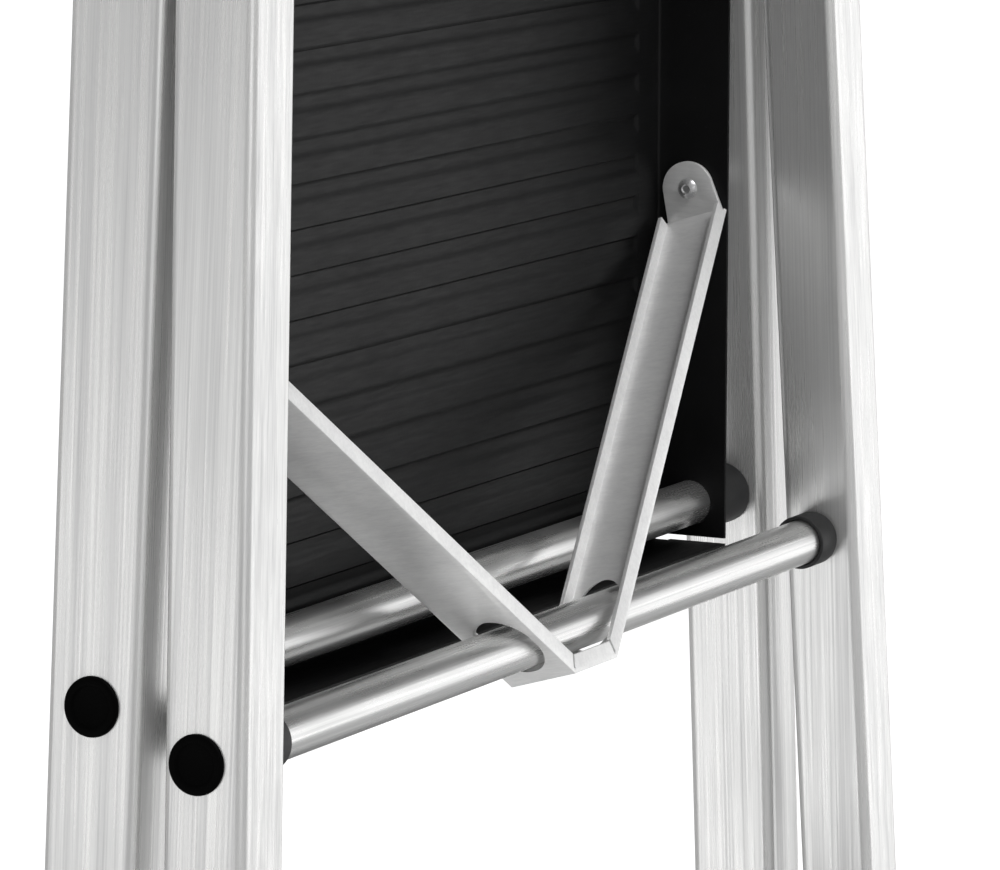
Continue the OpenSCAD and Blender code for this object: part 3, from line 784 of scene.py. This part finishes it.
def plugProfile(plan):
    radius, rim, step = plan["radius"], plan["rim"], plan["step"]
    dish = rim - plan["dish"]
    points = [(0, dish)]
    points += [(step + out, dish + up) for out, up in plan["lip"]]
    points += [(step + out, rim - down) for out, down in plan["crest"]]
    points += [(radius - back, rim - down) for back, down in plan["edge"]]
    points += [(radius, 0), (plan["stem"], 0), (plan["stem"], -plan["stemLength"])]
    return points + [(0, -plan["stemLength"])]


def outward(side):
    # square to a leg's outer face
    return Vector((side * math.cos(splay), 0, math.sin(splay)))


def plugSpots(node):
    low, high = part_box(node)
    middle = (low + high) / 2
    overhang = (plug["radius"] * math.sin(splay) + plug["rim"] * math.cos(splay)) * mm
    return [(Vector((side * (high.x - overhang), middle.y, middle.z)), outward(side)) for side in (-1, 1)]


for name, node, body in (("rearPlugs", "crossbar_plugs", "rear_frame"),
                         ("bracePlugs", "brace_plugs", "rear_frame"),
                         ("platformPlugs", "platform_plugs", "front_frame")):
    shape = lathed(plugProfile(plug), plug["sides"])
    placed(name, shape, plugSpots(node), body, "black_plastic", "plug", node)


rivet = {
    "radius": 3.5,
    "height": 1.8,
    "domeSteps": 8,
    "dimple": 1.3,
    "dimpleDepth": 0.35,
    "dimpleLip": 0.25,
    "floorInset": 0.2,
    "wall": (0.05, 0.1),  # out from the dimple, down from the top
    "shank": 2.0,
    "shankLength": 1.0,
    "sink": 0.05,
    "earSheet": 1.5,  # the link's ear, which the inner head lies on
}


def rivetProfile(plan):
    # a dome with a small dimple in its middle, and a short shank
    radius, height, dimple = plan["radius"], plan["height"], plan["dimple"]
    ball = (radius ** 2 + height ** 2) / (2 * height)
    rim = math.asin(radius / ball)
    start = math.asin((dimple + plan["dimpleLip"]) / ball)
    dome = [start + (rim - start) * i / plan["domeSteps"] for i in range(plan["domeSteps"] + 1)]
    top = height - ball + ball * math.cos(start)
    base, shank, length = -plan["sink"], plan["shank"], plan["shankLength"]
    points = [(0, top - plan["dimpleDepth"]), (dimple - plan["floorInset"], top - plan["dimpleDepth"])]
    points.append((dimple + plan["wall"][0], top - plan["wall"][1]))
    points += [(ball * math.sin(a), height - ball + ball * math.cos(a)) for a in dome]
    return points + [(radius, base), (shank, base), (shank, -length), (0, -length)]


def linkRivetSpots():
    low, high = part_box("link_rivets")
    outside = high.x - rivet["height"] * mm
    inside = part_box("v_link")[1].x - rivet["earSheet"] * mm
    spots = []
    for side in (-1, 1):
        spots.append((Vector((side * outside, linkPivot.y, linkPivot.z)), Vector((side, 0, 0))))
        spots.append((Vector((side * inside, linkPivot.y, linkPivot.z)), Vector((-side, 0, 0))))
    return spots


placed("linkRivets", lathed(rivetProfile(rivet)), linkRivetSpots(), "link", "rivet_steel", "rivet",
       "link_rivets")
paint(nodes["tread_rivets"], materials["rivet"])

screw = {
    "radius": 3.3,
    "height": 1.5,
    "sink": 0.3,
    "curve": [(1.0, 0.35), (0.93, 0.62), (0.78, 0.83), (0.55, 0.95)],  # shares of radius and height
    "sides": 32,
    "crossReach": 1.25,
    "slotWidth": 0.9,
    "slotDepth": 0.6,
}


def screwHead(plan):
    # pan head with a cross recess
    radius, height = plan["radius"], plan["height"]
    profile = [(0, -plan["sink"]), (radius, -plan["sink"])]
    profile += [(radius * out, height * up) for out, up in plan["curve"]] + [(0, height)]
    head = linked("screwHead", meshFrom("screwHead", lathed(profile, plan["sides"])))
    bars = bmesh.new()
    for angle in (0, math.pi / 2):
        turn = Matrix.Rotation(angle, 4, "Z") @ Matrix.Translation((0, 0, height * mm))
        reach = radius * plan["crossReach"] * mm
        grow = Matrix.Diagonal((reach, plan["slotWidth"] * mm, 2 * plan["slotDepth"] * mm, 1))
        bmesh.ops.create_cube(bars, size=1, matrix=turn @ grow)
    tool = linked("screwCross", meshFrom("screwCross", bars))
    cut = head.modifiers.new("cross", "BOOLEAN")
    cut.operation, cut.object, cut.solver = "DIFFERENCE", tool, "EXACT"
    cut.use_self = True
    head = baked(head, "screwHead")
    bpy.data.objects.remove(tool)
    bm = bmesh.new()
    bm.from_mesh(head.data)
    bpy.data.objects.remove(head)
    return bm


hingePad = {"thickness": 3.0, "margin": 5.5}


def hingeScrewSpots():
    # two on each hinge pad, on the rear of the front legs
    spots = []
    for side in ("left", "right"):
        low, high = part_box("hinge_block_" + side)
        middle = (low + high) / 2
        face = low.y + hingePad["thickness"] * mm
        for end in (-1, 1):
            height = middle.z + end * ((high.z - low.z) / 2 - hingePad["margin"] * mm)
            lean = -math.copysign(math.tan(splay), middle.x) * (height - middle.z)
            spots.append((Vector((middle.x + lean, face, height)), Vector((0, 1, 0))))
    return spots


placed("hingeScrews", screwHead(screw), hingeScrewSpots(), "front_frame", "rivet_steel", "rivet")
print("plugs, rivets and screws are placed")
